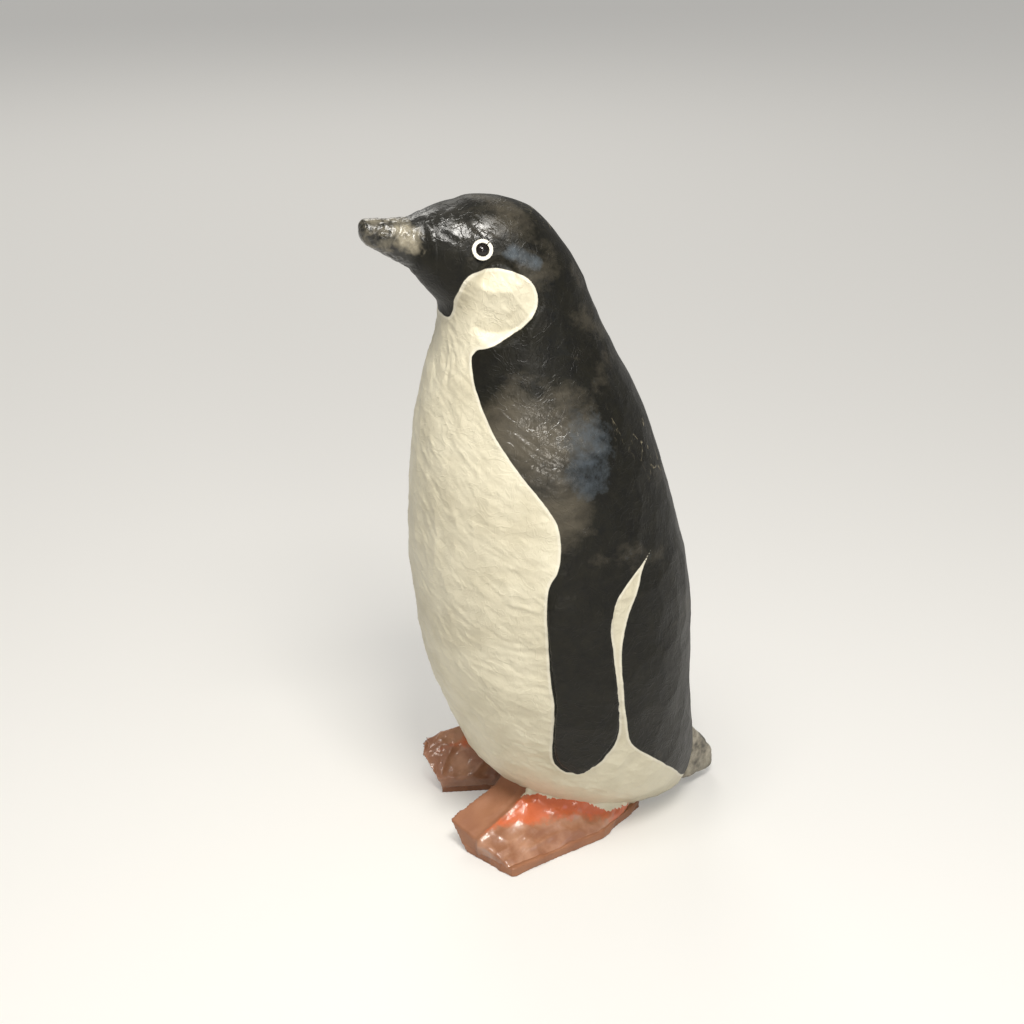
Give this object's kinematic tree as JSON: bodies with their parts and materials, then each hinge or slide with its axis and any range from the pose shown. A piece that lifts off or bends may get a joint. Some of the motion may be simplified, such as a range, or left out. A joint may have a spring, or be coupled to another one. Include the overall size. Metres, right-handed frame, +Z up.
{
  "type": "penguin figurine",
  "caption": "Standing penguin ornament of painted papier-mache: hollow egg-shaped body, pointed beak, glass eyes, flat flippers, wedge feet and a short tail.",
  "frame": {"origin": "on the ground, under the middle of the whole figure's box", "axes": "+Z up, the bird faces -Y, its left side is +X"},
  "size_m": [0.2172, 0.2914, 0.5],
  "materials": {
    "body_paint": "acrylic paint in black and warm white over pasted paper, satin varnish",
    "flipper_paint": "black paint, satin",
    "beak_paint": "black paint worn to grey over wrapped paper",
    "tail_paint": "black paint, dusty, satin",
    "foot_paint": "brown and orange paint, gloss varnish",
    "sole_paint": "brown paint, satin",
    "bare_paper": "bare pasted paper",
    "bare_wood": "bare, sanded",
    "eye_ring_paint": "white paint, satin",
    "eye_glass": "black glass, polished"
  },
  "bodies": {
    "root": {"body_shell_left": "body_paint", "body_shell_right": "body_paint", "seam_band": "bare_paper", "floor_board": "bare_wood", "leg_dowel_left": "bare_wood", "leg_dowel_right": "bare_wood", "foot_upper_left": "foot_paint", "foot_upper_right": "foot_paint", "foot_sole_left": "sole_paint", "foot_sole_right": "sole_paint", "flipper_left": "flipper_paint", "flipper_right": "flipper_paint", "tail": "tail_paint", "beak": "beak_paint", "beak_peg": "bare_wood", "eye_ring_left": "eye_ring_paint", "eye_ring_right": "eye_ring_paint", "eye_left": "eye_glass", "eye_right": "eye_glass"}
  },
  "joints": []
}
